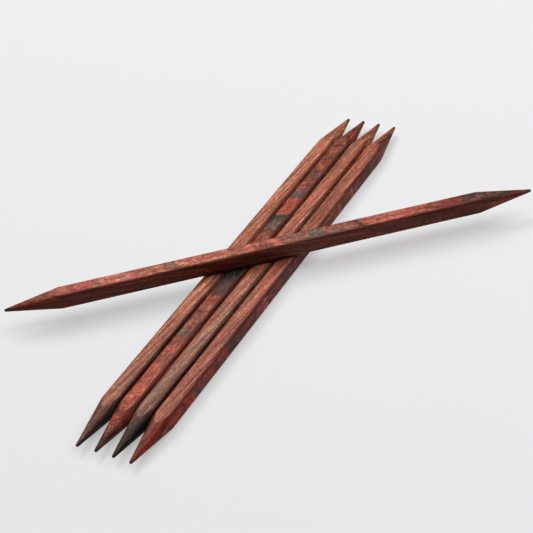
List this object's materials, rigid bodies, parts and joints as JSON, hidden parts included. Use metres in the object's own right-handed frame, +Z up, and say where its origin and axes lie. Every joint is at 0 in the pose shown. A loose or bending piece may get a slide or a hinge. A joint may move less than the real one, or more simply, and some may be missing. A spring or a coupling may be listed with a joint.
{
  "type": "double-pointed knitting needle set",
  "caption": "Set of loose square double-pointed knitting needles in laminated dyed wood, laid side by side as a flat row with one more across the top.",
  "frame": {"origin": "middle of the set's footprint, on the surface that the row of needles lies on", "axes": "+Y along the needles of the row, +X across the row towards needle_4, +Z up through the crossing needle"},
  "size_m": [0.1524, 0.2006, 0.0129],
  "materials": {
    "streaked_brown_wood": "satin lacquer over fine streaks along the needle, tan, brown and grey",
    "banded_red_wood": "satin lacquer over wavy cross bands of brick red and charcoal",
    "streaked_tan_wood": "satin lacquer over fine streaks along the needle, olive grey to orange tan",
    "streaked_rose_wood": "satin lacquer over fine rose and brown streaks, red and maroon bands on its sides",
    "banded_maroon_wood": "satin lacquer over brick red cross bands, dark maroon streaks on its sides"
  },
  "bodies": {
    "needle_1": {"needle_1": "streaked_brown_wood"},
    "needle_2": {"needle_2": "banded_red_wood"},
    "needle_3": {"needle_3": "streaked_tan_wood"},
    "needle_4": {"needle_4": "streaked_rose_wood"},
    "crossing_needle": {"crossing_needle": "banded_maroon_wood"}
  },
  "joints": [
    {"name": "row_2_draw", "type": "slide", "parent": "needle_1", "child": "needle_2", "axis": [0, 1, 0], "range_m": [-0.205, 0.205]},
    {"name": "row_3_draw", "type": "slide", "parent": "needle_1", "child": "needle_3", "axis": [0, 1, 0], "range_m": [-0.205, 0.205]},
    {"name": "row_4_draw", "type": "slide", "parent": "needle_1", "child": "needle_4", "axis": [0, 1, 0], "range_m": [-0.205, 0.205]},
    {"name": "crossing_lift", "type": "slide", "parent": "needle_1", "child": "crossing_needle", "axis": [0, 0, 1], "range_m": [0, 0.1]}
  ]
}
